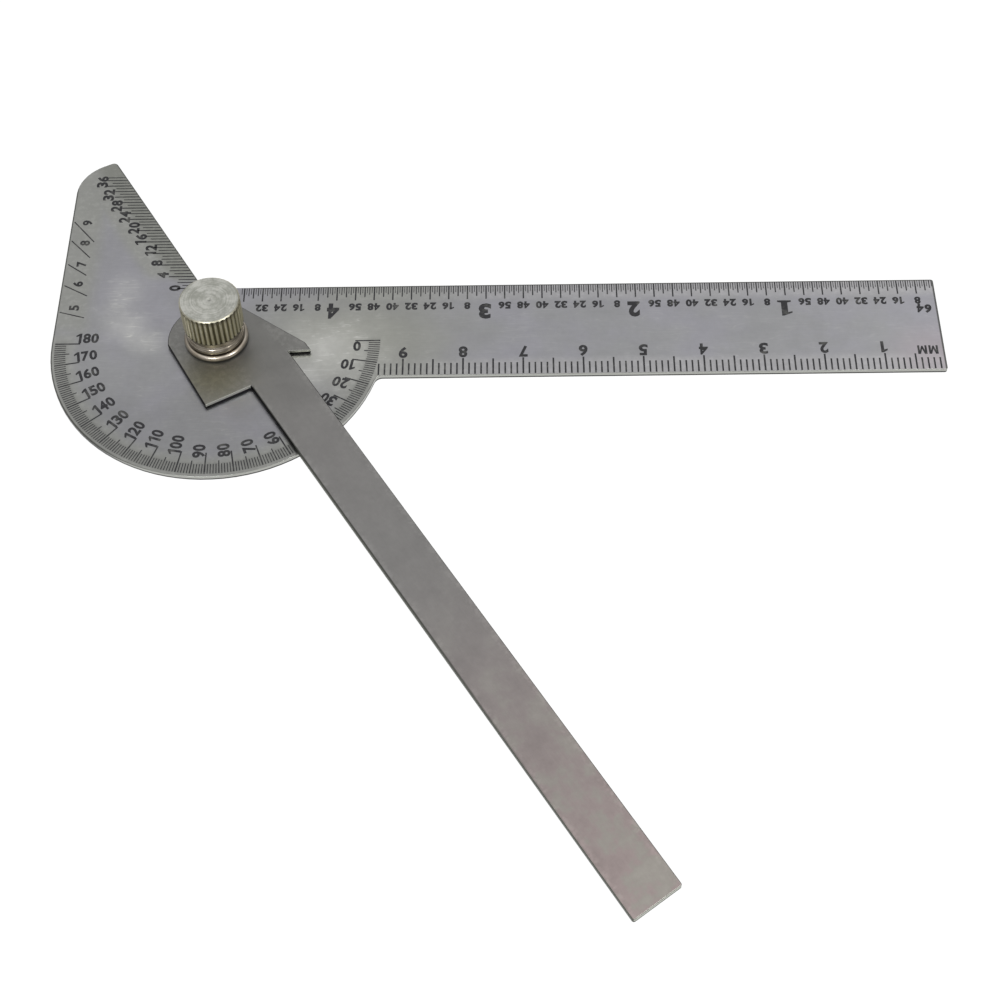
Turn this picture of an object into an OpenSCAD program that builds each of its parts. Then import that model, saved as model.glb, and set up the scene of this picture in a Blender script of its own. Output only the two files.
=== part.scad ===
// Multi-purpose layout gauge: a flat rule with a protractor head, a long swinging arm
// and a knurled clamp nut on a keyed stud.
// The pivot axis is Z, the plate's back face lies on z = 0, and +X runs along the rule.

/* [Plate] */
// Thickness of the plate
plate_t = 0.9; // [0.7:0.05:2]
// Pivot axis to the free end of the rule
rule_reach = 121.2; // [60:0.1:320]
// Pivot axis to the inch edge, the upper long edge
inch_edge = 12.1; // [10:0.1:20]
// Pivot axis to the millimetre edge, the lower long edge
metric_edge = 7.6; // [6:0.1:16]
// Corner radius at the rule's free end
rule_corner_r = 0.45; // [0.2:0.05:1.5]
// Radius of the protractor's arc
head_r = 27.9; // [22:0.1:45]
// Fillet where the arc runs into the millimetre edge
neck_fillet_r = 1.5; // [0.5:0.1:4]

/* [Drill lip] */
// Angle from the rule's direction to the slanted lip
lip_angle = 121; // [115:0.5:130]
// How far behind the pivot axis the lip meets the inch edge
vee_back = 3.4; // [0:0.1:8]
// Lip's upper end to the straight back edge, along the rule
tip_inset = 6.2; // [4:0.1:12]
// Slope of the head's top edge
top_slope = 26.5; // [10:0.5:35]
// Rounding between the back edge and the top edge
shoulder_r = 7.5; // [3:0.1:9]
// Rounding of the lip's upper end
tip_r = 0.9; // [0.3:0.1:1.5]

/* [Arm] */
// Reading of the protractor at which the arm stands, in degrees
arm_reading = 58; // [0:1:180]
// Thickness of the arm
arm_t = 0.95; // [0.6:0.05:2]
// Width of the blade
blade_w = 8.75; // [6:0.05:14]
// Pivot axis to the end of the blade, along its reading edge
blade_reach = 123.2; // [60:0.1:250]
// How far the blade's end is sheared out of square, in degrees
blade_skew = 5; // [0:0.5:15]
// Corner radius at the end of the blade
blade_corner_r = 0.4; // [0.2:0.05:1.5]
// Radius of the round part of the arm's head
hub_r = 8.2; // [7:0.1:12]
// Pivot axis to the shoulder that crosses the reading edge, along that edge
stop_reach = 12.05; // [9:0.05:24]
// Length of the shoulder, out from the reading edge
stop_w = 8.2; // [6:0.1:12]
// How far the shoulder is sheared out of square, in degrees
stop_skew = 3; // [0:0.5:10]
// Taper of the head's straight side
stop_taper = 2.6; // [0:0.1:5]
// Pivot axis to the sloping edge that runs out to the tab
tab_edge = 7.75; // [6:0.05:8]
// Angle between the blade and that sloping edge
tab_slope = 22.7; // [15:0.1:30]
// Reading edge to the outer side of the tab
tab_out = 12.05; // [10:0.05:18]
// Pivot axis to the inner corner of the tab's notch, along the blade
tab_root = 8.9; // [6:0.1:16]
// Angle between the blade and the tab's straight return edge
tab_return = 62; // [45:1:80]
// Rounding where the sloping edge meets the tab's outer side
tab_r = 1.6; // [0.5:0.1:3]

/* [Pivot stud] */
// Radius of the thin head, let into the plate's back
stud_head_r = 4.5; // [4:0.1:8]
// Thickness of the thin head
stud_head_t = 0.4; // [0.2:0.05:0.5]
// Radius of the keyed neck in the plate
neck_r = 3.5; // [3.2:0.05:4.5]
// Distance across the neck's two flats
neck_flats = 5.8; // [5.6:0.05:6.2]
// Radius of the journal that the arm turns on
journal_r = 2.75; // [2.6:0.05:2.8]
// Outer radius of the threaded end
thread_r = 2.5; // [2:0.05:2.5]
// Chamfer on the threaded end
thread_chamfer = 0.4; // [0.1:0.05:0.8]

/* [Clamp washer] */
// Outer radius of the ring
washer_r = 5.35; // [4.4:0.05:9]
// Thickness of the ring, whose rim is half round
washer_t = 1.15; // [0.8:0.05:2.5]

/* [Thumb nut] */
// Height of the whole nut
nut_h = 8.65; // [7:0.05:14]
// Radius over the crests of the knurl
nut_r = 5; // [4.4:0.05:9]
// Number of straight grooves in the knurl
knurl_n = 36; // [18:1:60]
// Depth of a groove
knurl_depth = 0.3; // [0.15:0.05:0.45]
// Height of the smooth collar below the knurl
collar_h = 2.7; // [1.2:0.05:3]
// Radius over the round bead of the collar
collar_r = 4.9; // [4:0.05:8]
// Chamfer at the top and bottom of the knurl
nut_chamfer = 0.2; // [0.1:0.02:0.6]
// Thickness of the closed top over the blind hole
nut_cap = 1.3; // [0.8:0.1:3]
// Point angle of the drill that made the blind hole
drill_point = 118; // [90:1:140]

/* [Clearances] */
// Play between parts that are fitted and stay put
seat_gap = 0.05; // [0.02:0.01:0.1]
// Play round the parts that turn
run_gap = 0.05; // [0.02:0.01:0.1]
// Gap under the arm, so that it slides over the plate's marks
lay_gap = 0.05; // [0.02:0.01:0.2]
// Clearance of the washer's hole over the thread
washer_gap = 0.15; // [0.1:0.01:0.4]
// Space left in the blind hole over the stud's end when the nut is down
end_gap = 0.2; // [0.1:0.05:1]

/* [Hidden] */

// Cutters reach this far past the faces they cut
over = 1;
// Rounds bulge this far past the edges they blend, so that they cross them cleanly
nudge = 0.002;
// The knurl's cutters reach this far past its crests, short of one another
knurl_over = 0.1;

// Heights of the stack on the stud
arm_z = plate_t + lay_gap;
arm_top = arm_z + arm_t;
journal_top = arm_top - seat_gap;
nut_z = arm_top + washer_t;
hole_r = thread_r + run_gap;
point_h = hole_r / tan(drill_point / 2);
hole_h = nut_h - nut_cap - point_h;
stud_top = nut_z + hole_h - end_gap;

// The head's outline
lip_rise = 180 - lip_angle;
vee = [-vee_back, inch_edge];
tip = [-head_r + tip_inset, inch_edge + (head_r - tip_inset - vee_back) * tan(lip_rise)];
shoulder = [-head_r, tip[1] - tip_inset * tan(top_slope)];

// The arm's outline, in its own frame: the reading edge lies on y = 0
side_dir = [cos(stop_taper), -sin(stop_taper)];
side_foot_x = -(stop_w - stop_reach * tan(stop_taper)) * sin(stop_taper);
tab_dir = [cos(tab_slope), sin(tab_slope)];
tab_foot = tab_edge * [-tab_dir[1], tab_dir[0]];
tab_bend = [(tab_out - tab_edge / tab_dir[0]) / tan(tab_slope), tab_out];
stop_tip = [stop_reach - (stop_w + over) * tan(stop_skew), -stop_w - over];
blade_tip = [blade_reach - blade_w * tan(blade_skew), blade_w];
tab_tip = [tab_root + (tab_out - blade_w) / tan(tab_return), tab_out];

function heading(a) = [cos(a), sin(a)];

// The bit of an outline that lies outside a round of radius r at the corner p, whose
// edges leave p at the angles a1 and a2. Taken away, it rounds the corner.
module corner_bit(p, a1, a2, r) {
    mid = (a1 + a2) / 2;
    half = abs(a2 - a1) / 2;
    centre = p + (r / sin(half) - nudge) * heading(mid);
    difference() {
        polygon([
            centre,
            centre + (r + over) * heading(mid + 90 + half),
            p - (r / tan(half) + over) * heading(mid),
            centre + (r + over) * heading(mid - 90 - half)
        ]);
        translate(centre) circle(r = r, $fn = 96);
    }
}

// The web between the arc of the head and the millimetre edge
module neck_fillet() {
    drop = metric_edge + neck_fillet_r;
    far = head_r + neck_fillet_r;
    centre = [sqrt(far * far - drop * drop), -drop];
    inner = [sqrt(head_r * head_r - metric_edge * metric_edge), -metric_edge];
    difference() {
        polygon([
            inner + over / 2 * [-1, 1],
            centre * (head_r - over / 2) / far,
            centre,
            [centre[0], over / 2 - metric_edge]
        ]);
        translate(centre + nudge * [-1, 1]) circle(r = neck_fillet_r, $fn = 64);
    }
}

// The protractor's half round, a little past its centre line so that it blends in
module head_round() {
    intersection() {
        circle(r = head_r, $fn = 360);
        translate([-head_r - over, -head_r - over])
            square([2 * head_r + 2 * over, head_r + 2 * over]);
    }
}

// Rule, back edge, top edge and lip, with their corners rounded
module rule_and_lip() {
    difference() {
        polygon([
            [-head_r, 0],
            shoulder,
            tip,
            vee,
            [rule_reach, inch_edge],
            [rule_reach, -metric_edge],
            [-head_r / 2, -metric_edge]
        ]);
        corner_bit(shoulder, -90, top_slope, shoulder_r);
        corner_bit(tip, -lip_rise, top_slope - 180, tip_r);
        corner_bit([rule_reach, inch_edge], 180, 270, rule_corner_r);
        corner_bit([rule_reach, -metric_edge], 90, 180, rule_corner_r);
    }
}

// A round with two flats, for the stud's neck and the hole it keys into
module keyed_round(gap = 0) {
    across = neck_flats + 2 * gap;
    intersection() {
        circle(r = neck_r + gap, $fn = 96);
        translate([-neck_r - over, -across / 2]) square([2 * neck_r + 2 * over, across]);
    }
}

// Stamped plate: rule, protractor head and drill lip in one piece
module rule_plate() {
    color([0.66, 0.66, 0.68])
    difference() {
        union() {
            linear_extrude(plate_t) rule_and_lip();
            linear_extrude(plate_t) head_round();
            linear_extrude(plate_t) neck_fillet();
        }
        translate([0, 0, -over]) linear_extrude(plate_t + 2 * over) keyed_round(seat_gap);
        translate([0, 0, -over])
            cylinder(r = stud_head_r + seat_gap, h = stud_head_t + over, $fn = 96);
    }
}

// Flush head, keyed neck, journal and threaded end on one turned stud
module pivot_stud() {
    color([0.74, 0.73, 0.68])
    union() {
        cylinder(r = stud_head_r, h = stud_head_t, $fn = 96);
        linear_extrude(plate_t) keyed_round();
        cylinder(r = journal_r, h = journal_top, $fn = 96);
        cylinder(r = thread_r, h = stud_top - thread_chamfer, $fn = 96);
        translate([0, 0, stud_top - thread_chamfer])
            cylinder(r1 = thread_r, r2 = thread_r - thread_chamfer, h = thread_chamfer, $fn = 96);
    }
}

module arm_outline() {
    difference() {
        union() {
            circle(r = hub_r, $fn = 180);
            polygon([
                [side_foot_x, -stop_w - over],
                stop_tip,
                [stop_reach, 0],
                [blade_reach, 0],
                blade_tip,
                [tab_root, blade_w],
                tab_tip,
                [tab_foot[0], tab_out]
            ]);
        }
        beyond([stop_reach, -stop_w], side_dir, -1);
        beyond(tab_foot, tab_dir, 1);
        corner_bit(tab_bend, 0, tab_slope - 180, tab_r);
        corner_bit([blade_reach, 0], 90 + blade_skew, 180, blade_corner_r);
        corner_bit(blade_tip, 180, 270 + blade_skew, blade_corner_r);
        circle(r = journal_r + run_gap, $fn = 96);
    }
}

// Half plane to the left (side = 1) or right (side = -1) of a line through p
module beyond(p, dir, side) {
    far = 3 * (hub_r + stop_reach + tab_out);
    away = side * far * [-dir[1], dir[0]];
    polygon([p - far * dir, p + far * dir, p + far * dir + away, p - far * dir + away]);
}

// Blade with its round head, shoulder and pointed tab
module swing_arm() {
    color([0.56, 0.54, 0.53])
    rotate([0, 0, -arm_reading])
    translate([0, 0, arm_z])
    linear_extrude(arm_t) arm_outline();
}

// Loose ring with a half-round rim under the nut
module clamp_washer() {
    rim_r = washer_t / 2;
    color([0.78, 0.75, 0.68])
    translate([0, 0, arm_top])
    rotate_extrude($fn = 120)
    union() {
        bore_r = thread_r + washer_gap;
        translate([bore_r, 0]) square([washer_r - rim_r - bore_r, washer_t]);
        translate([washer_r - rim_r, rim_r]) intersection() {
            circle(r = rim_r, $fn = 64);
            translate([0, -rim_r]) square([rim_r, washer_t]);
        }
    }
}

// Half section of the nut before its knurl is cut: round collar, barrel and chamfers
module nut_section() {
    bead_r = collar_h / 2;
    grip = nut_h - collar_h;
    union() {
        square([collar_r - bead_r, collar_h + over / 2]);
        translate([collar_r - bead_r, bead_r]) intersection() {
            circle(r = bead_r, $fn = 64);
            translate([0, -bead_r]) square([bead_r, collar_h]);
        }
        translate([0, collar_h]) polygon([
            [0, 0],
            [nut_r - nut_chamfer, 0],
            [nut_r, nut_chamfer],
            [nut_r, grip - nut_chamfer],
            [nut_r - nut_chamfer, grip],
            [0, grip]
        ]);
    }
}

// Straight knurl: one V groove for each tooth space, all the way up the barrel
module knurl_grooves() {
    reach = knurl_depth + knurl_over;
    for (i = [0 : knurl_n - 1])
        rotate([0, 0, i * 360 / knurl_n])
        translate([nut_r - knurl_depth, 0, collar_h])
        linear_extrude(nut_h - collar_h + over)
        polygon([[0, 0], [reach, -reach], [reach, reach]]);
}

// Blind knurled nut: the hole stops below the closed top, at a drilled point
module thumb_nut() {
    color([0.72, 0.70, 0.60])
    translate([0, 0, nut_z])
    difference() {
        rotate_extrude($fn = 120) nut_section();
        knurl_grooves();
        translate([0, 0, -over]) cylinder(r = hole_r, h = hole_h + over, $fn = 96);
        translate([0, 0, hole_h]) cylinder(r1 = hole_r, r2 = 0, h = point_h, $fn = 96);
    }
}

rule_plate();
pivot_stud();
swing_arm();
clamp_washer();
thumb_nut();
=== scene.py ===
import math

import bmesh
import bpy
from mathutils import Matrix, Vector


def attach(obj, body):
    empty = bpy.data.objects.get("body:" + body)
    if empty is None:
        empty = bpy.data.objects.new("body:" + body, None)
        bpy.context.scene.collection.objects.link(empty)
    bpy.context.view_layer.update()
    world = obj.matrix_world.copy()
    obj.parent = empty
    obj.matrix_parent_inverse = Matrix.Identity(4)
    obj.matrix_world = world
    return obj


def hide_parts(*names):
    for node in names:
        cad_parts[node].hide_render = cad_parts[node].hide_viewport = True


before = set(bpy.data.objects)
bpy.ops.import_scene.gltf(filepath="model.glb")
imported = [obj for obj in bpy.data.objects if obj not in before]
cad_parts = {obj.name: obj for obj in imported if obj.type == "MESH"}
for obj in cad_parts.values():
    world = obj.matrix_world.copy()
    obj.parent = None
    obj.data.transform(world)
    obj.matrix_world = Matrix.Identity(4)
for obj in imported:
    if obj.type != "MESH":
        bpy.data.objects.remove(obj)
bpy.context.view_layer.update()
mm = 0.001
print("frame loaded:", ", ".join(sorted(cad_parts)))


class Wire:
    # A socket of a node: arithmetic on it adds Math nodes
    def __init__(self, board, socket):
        self.board = board
        self.socket = socket

    def of(self, name):
        return Wire(self.board, self.socket.node.outputs[name])

    def math(self, operation, *values):
        settings = {"operation": operation}
        return self.board.node("ShaderNodeMath", settings, dict(enumerate(values)))

    def __add__(self, other):
        return self.math("ADD", self, other)

    def __radd__(self, other):
        return self.math("ADD", other, self)

    def __sub__(self, other):
        return self.math("SUBTRACT", self, other)

    def __rsub__(self, other):
        return self.math("SUBTRACT", other, self)

    def __mul__(self, other):
        return self.math("MULTIPLY", self, other)

    def __rmul__(self, other):
        return self.math("MULTIPLY", other, self)

    def __truediv__(self, other):
        return self.math("DIVIDE", self, other)

    def __pow__(self, other):
        return self.math("POWER", self, other)

    def __mod__(self, other):
        return self.math("FLOORED_MODULO", self, other)

    def __lt__(self, other):
        return self.math("LESS_THAN", self, other)

    def __abs__(self):
        return self.math("ABSOLUTE", self)

    def larger(self, other):
        return self.math("MAXIMUM", self, other)

    def smaller(self, other):
        return self.math("MINIMUM", self, other)

    def sine(self):
        return self.math("SINE", self)

    def cosine(self):
        return self.math("COSINE", self)


class Board:
    # A node tree in the making
    def __init__(self, tree):
        self.tree = tree

    def node(self, kind, settings=None, sockets=None, out=0):
        made = self.tree.nodes.new(kind)
        for name, value in (settings or {}).items():
            setattr(made, name, value)
        for name, value in (sockets or {}).items():
            if isinstance(value, Wire):
                self.tree.links.new(value.socket, made.inputs[name])
            else:
                made.inputs[name].default_value = value
        return Wire(self, made.outputs[out]) if made.outputs else made

    def vector(self, *parts):
        return self.node("ShaderNodeCombineXYZ", None, dict(enumerate(parts)))

    def parts(self, vector):
        split = self.node("ShaderNodeSeparateXYZ", None, {0: vector})
        return split, split.of("Y"), split.of("Z")

    def mixed(self, factor, first, second):
        settings = {"data_type": "RGBA"}
        return self.node("ShaderNodeMix", settings, {0: factor, 6: first, 7: second}, 2)

    def fade(self, value, low, high):
        # 0 below low, 1 above high, smooth between them
        settings = {"interpolation_type": "SMOOTHSTEP"}
        sockets = {"Value": value, "From Min": low, "From Max": high}
        return self.node("ShaderNodeMapRange", settings, sockets)

    def bump(self, value, strength, distance):
        sockets = {"Height": value, "Strength": strength, "Distance": distance}
        return self.node("ShaderNodeBump", None, sockets)


# Camera, floor and light

cameraView = {
    "place": (50.69, -214.25, 255.63),
    "yaw": -1.06,
    "pitch": 54.59,
    "roll": -1.50,
    "lens": 71.27,
    "sensor": 36,
    "reach": (0.01, 10),
}


def makeCamera(view):
    yaw, pitch, roll = (math.radians(view[name]) for name in ("yaw", "pitch", "roll"))
    flat = math.cos(pitch)
    forward = Vector((math.sin(yaw) * flat, math.cos(yaw) * flat, -math.sin(pitch)))
    level = Vector((math.cos(yaw), -math.sin(yaw), 0))
    upright = level.cross(forward)
    right = math.cos(roll) * level + math.sin(roll) * upright
    up = math.cos(roll) * upright - math.sin(roll) * level
    camera = bpy.data.objects.new("camera", bpy.data.cameras.new("camera"))
    bpy.context.scene.collection.objects.link(camera)
    camera.data.lens = view["lens"]
    camera.data.sensor_width = view["sensor"]
    camera.data.clip_start, camera.data.clip_end = view["reach"]
    turned = Matrix((right, up, -forward)).transposed().to_4x4()
    camera.matrix_world = Matrix.Translation(Vector(view["place"]) * mm) @ turned
    bpy.context.scene.camera = camera


studio = {
    "white": 1.0,
    "fill": 0.9,
    "horizon": 0.28,
    "horizonTop": 0.12,
    "whiteFrom": 1.0,
    "floorRadius": 1600,
    "floorSides": 96,
    "floorDrop": 0.15,
    "floorPaper": (0.9, 0.9, 0.9, 1),
    "floorGlow": 0.9,
    "floorWhite": 1.05,
}
lamps = {
    "leftLamp": {"place": (-75, -287, 268), "aim": (0, 0, 6), "size": 90, "power": 0.5},
    "rightLamp": {"place": (244, -169, 268), "aim": (0, 0, 6), "size": 80, "power": 0.45},
}


def rayKinds(board):
    camera = board.node("ShaderNodeLightPath", out="Is Camera Ray")
    return camera.larger(camera.of("Is Transmission Ray")), camera.of("Is Glossy Ray")


def makeWorld(light):
    world = bpy.data.worlds.new("studioWorld")
    bpy.context.scene.world = world
    world.use_nodes = True
    board = Board(world.node_tree)
    height = board.parts(board.node("ShaderNodeTexCoord"))[2]
    seen, glossy = rayKinds(board)
    # Metal shows the white background too, dimmer towards the horizon
    risen = board.fade(height, light["horizonTop"], light["whiteFrom"])
    mirrored = light["horizon"] + (light["white"] - light["horizon"]) * risen
    strength = light["fill"] + (mirrored - light["fill"]) * glossy
    strength = strength + (light["white"] - strength) * seen
    background = board.tree.nodes["Background"]
    background.inputs["Color"].default_value = (1, 1, 1, 1)
    board.tree.links.new(strength.socket, background.inputs["Strength"])


def makeFloor(light):
    mesh = bpy.data.meshes.new("studioFloor")
    shape = bmesh.new()
    bmesh.ops.create_circle(
        shape, cap_ends=True, segments=light["floorSides"], radius=light["floorRadius"] * mm)
    bmesh.ops.translate(shape, verts=shape.verts, vec=(0, 0, -light["floorDrop"] * mm))
    shape.to_mesh(mesh)
    floor = bpy.data.objects.new("studioFloor", mesh)
    bpy.context.scene.collection.objects.link(floor)
    material = bpy.data.materials.new("studioFloor")
    material.use_nodes = True
    board = Board(material.node_tree)
    board.tree.nodes.remove(board.tree.nodes["Principled BSDF"])
    paper = board.node("ShaderNodeBsdfDiffuse", None, {"Color": light["floorPaper"]})
    glow = board.node("ShaderNodeEmission", None, {"Strength": light["floorWhite"]})
    seen, glossy = rayKinds(board)
    shown = seen.larger(glossy) * light["floorGlow"]
    shown = board.node("ShaderNodeMixShader", None, {0: shown, 1: paper, 2: glow})
    board.tree.links.new(shown.socket, board.tree.nodes["Material Output"].inputs["Surface"])
    mesh.materials.append(material)


def makeLamp(name, lamp):
    light = bpy.data.lights.new(name, "AREA")
    light.size = lamp["size"] * mm
    light.energy = lamp["power"]
    holder = bpy.data.objects.new(name, light)
    bpy.context.scene.collection.objects.link(holder)
    holder.location = Vector(lamp["place"]) * mm
    aim = (Vector(lamp["aim"]) - Vector(lamp["place"])) * mm
    holder.rotation_euler = aim.to_track_quat("-Z", "Y").to_euler()


makeCamera(cameraView)
makeWorld(studio)
makeFloor(studio)
for lampName, lamp in lamps.items():
    makeLamp(lampName, lamp)
bpy.context.scene.view_settings.view_transform = "Standard"
print("camera, floor and light ready")


# Materials

def newMaterial(name, fixed, paint):
    material = bpy.data.materials.new(name)
    material.use_nodes = True
    board = Board(material.node_tree)
    shader = board.tree.nodes["Principled BSDF"]
    for socket, value in fixed.items():
        shader.inputs[socket].default_value = value
    for socket, wire in paint(board).items():
        board.tree.links.new(wire.socket, shader.inputs[socket])
    return material


def placeParts(board):
    # The surface's own place, whole and as three wires
    place = board.node("ShaderNodeTexCoord", out="Object")
    return place, *board.parts(place)


def facing(board):
    # The surface's own direction, as three wires
    return board.parts(board.node("ShaderNodeTexCoord", out="Normal"))


def rises(board, value, reach):
    # 0 before the first distance and 1 past the second, in millimetres
    low, high = reach
    return board.fade(value, low * mm, high * mm)


def spot(board, x, y, centre, reach):
    # 1 at a place on the sheet, fading to 0 at its reach
    across = (x - centre[0] * mm) / (reach[0] * mm)
    along = (y - centre[1] * mm) / (reach[1] * mm)
    far = (across * across + along * along) ** 0.5
    return 1 - board.fade(far, 0, 1)


def tinted(board, colour, tone):
    shade = board.node("ShaderNodeCombineColor", None, {0: tone, 1: tone, 2: tone})
    settings = {"data_type": "RGBA", "blend_type": "MULTIPLY"}
    return board.node("ShaderNodeMix", settings, {0: 1.0, 6: colour, 7: shade}, 2)


def mapped(board, vector, scale=(1, 1, 1), turn=0):
    sockets = {"Vector": vector, "Rotation": (0, 0, math.radians(turn)), "Scale": scale}
    return board.node("ShaderNodeMapping", None, sockets)


def noise(board, vector, scale, detail=3, rough=0.6):
    sockets = {"Vector": vector, "Scale": scale, "Detail": detail, "Roughness": rough}
    return board.node("ShaderNodeTexNoise", None, sockets)


def noises(board, vector, look, *names):
    # A finish's noises by their names
    return (noise(board, vector, *look[name]) for name in names)


def turnedRings(board, radius, scale):
    # The rings that a turning tool leaves
    sockets = {"W": radius, "Scale": scale, "Detail": 3}
    return board.node("ShaderNodeTexNoise", {"noise_dimensions": "1D"}, sockets)


def scratches(board, place, turn, scale, look):
    # Hairlines where a stretched noise crosses its middle value
    run = noise(board, mapped(board, place, look["scratchStretch"], turn), scale, 1, 0.5)
    return 1 - board.fade(abs(run - 0.5), 0, look["scratchWidth"])


reliefDepth = 0.02 * mm

plateFinish = {
    "base": (0.326, 0.327, 0.336, 1),
    "lilac": (0.343, 0.340, 0.368, 1),
    "warm": (0.335, 0.338, 0.300, 1),
    "margin": (0.350, 0.354, 0.330, 1),
    "ruleMargin": (0.415, 0.411, 0.420, 1),
    "band": (0.262, 0.267, 0.240, 1),
    "pale": (0.60, 0.60, 0.575, 1),
    "rose": (0.42, 0.37, 0.395, 1),
    "rim": (0.085, 0.087, 0.078, 1),
    "litSide": (0.40, 0.405, 0.38, 1),
    "darkSide": (0.03, 0.03, 0.028, 1),
    # Patches of another colour: centre and reach
    "warmPatch": ((22, 0), (28, 18)),
    "lilacPatch": ((-14, 17), (12, 20)),
    "rosePatch": ((119, -4), (10, 9)),
    # Pale patches painted as a sheen highlight: centre, reach and strength
    "sheenAndScratches": [
        ((19, -2), (15, 11), 0.56), ((19, -1), (6, 5), 0.30), ((-17.2, 7.4), (6, 8), 0.30),
        ((-15, 3), (6, 5), 0.45), ((-12, 0), (5, 4), 0.35), ((14, -9), (6, 6), 0.35),
        ((-3, 17), (4, 6), 0.22), ((-16, 13), (5, 5), 0.2),
    ],
    # Scratches: which way they run, and how close
    "scratchRuns": [(20, 700), (105, 620)],
    "scratchStretch": (0.12, 1, 1),
    "scratchWidth": 0.014,
    # Noises: scale, detail and roughness
    "cloud": (70, 4, 0.55),
    "smear": (240, 4, 0.6),
    "speck": (1100, 3, 0.6),
    "grain": (4200, 4, 0.65),
    "rolled": (0.06, 1, 1),
    # How strongly each area is painted
    "marginStrength": 0.85,
    "bandStrength": 0.75,
    "roseStrength": 0.6,
    "borderStrength": 0.85,
    # Between which values of a noise or of the surface's tilt each one sets in
    "marked": (0, 0.2),
    "lilacCloud": (0.40, 0.62),
    "streaked": (0.40, 0.58),
    "smeared": (0.35, 0.65),
    "wornSpeck": (0.5, 0.65),
    "front": (0.4, 0.8),
    "brokenEdge": (0.15, 0.4),
    "face": (0.90, 0.985),
    "roughness": 0.26,
    "bump": 0.14,
}

# How much each pattern and each area lightens or darkens the face
plateTone = {
    "least": 0.77,
    "grain": 0.13,
    "speck": 0.12,
    "smear": 0.21,
    "rule": 0.10,
    "ruleEnd": 0.11,
    "lowHead": 0.13,
    "arcBand": 0.15,
    "marginSpeck": 0.08,
    "margin": 0.03,
}

# The plate's areas: from where to where each one sets in, in millimetres
plateAreas = {
    "lip": ((-3.4, 12.1), 121),
    "above": (0, 5),
    "ruleMiddle": 2.25,
    "ruleMargin": (5.6, 7.6),
    "ruleStart": (14, 24),
    "ruleColour": (25, 50),
    "arcMargin": (22.5, 25.5),
    "arcEnd": (22, 30),
    "leftMargin": (20.5, 24),
    "tip": (31, 37),
    "lipMargin": (6, 8.5),
    "lipStart": (13, 16),
    "lipBand": (2.2, 4.6),
    "lipBandStart": (12, 15),
    "paleRule": (30, 100),
    "ruleEnd": (95, 115),
    "lowHead": (6, 16),
    "arcBand": (24.8, 25.6),
    "arcBandEnd": (27.2, 27.5),
    "belowPivot": (0, 1),
    "inchBorder": (11.74, 11.90),
    "inchBorderStart": (4, 6),
    "lipBorder": (0.12, 0.26),
    "lipBorderStart": (12.1, 12.6),
    "arcBorder": (27.58, 27.72),
    "arcBorderTurn": (11, 20),
    "arcBorderEnd": (-10, -5),
    "endBorder": (120.78, 120.94),
    "litSide": (0.30, 0.42),
}


def plateMargins(board, x, y, radius, fromLip):
    # 1 in the worn margins that hold the scales
    area = plateAreas
    above = rises(board, y, area["above"])
    fromMiddle = abs(y - area["ruleMiddle"] * mm)
    rule = rises(board, fromMiddle, area["ruleMargin"]) * rises(board, x, area["ruleStart"])
    arc = rises(board, radius, area["arcMargin"]) * (1 - rises(board, x, area["arcEnd"]))
    left = rises(board, 0 - x, area["leftMargin"]) * above
    lip = (1 - rises(board, fromLip, area["lipMargin"])) * rises(board, y, area["lipStart"])
    straight = rule.larger(lip).larger(rises(board, y, area["tip"]))
    return straight.larger(arc * (1 - above)).larger(left)


def plateBorders(board, x, y, radius, fromLip):
    # 1 on a painted shade line right along the back, left and end edges, where the rounded edge
    # would reflect dark
    area = plateAreas
    above = rises(board, y, area["belowPivot"])
    inch = rises(board, y, area["inchBorder"]) * rises(board, x, area["inchBorderStart"])
    lip = 1 - rises(board, fromLip, area["lipBorder"])
    lip = lip * rises(board, y, area["lipBorderStart"])
    arc = rises(board, radius, area["arcBorder"]) * (1 - above)
    arc = arc * (1 - rises(board, 0.45 * x - y, area["arcBorderTurn"]))
    arc = arc * (1 - rises(board, x, area["arcBorderEnd"]))
    left = rises(board, 0 - x, area["arcBorder"]) * above
    return (inch + lip).larger(rises(board, x, area["endBorder"])).larger(left + arc)


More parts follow.
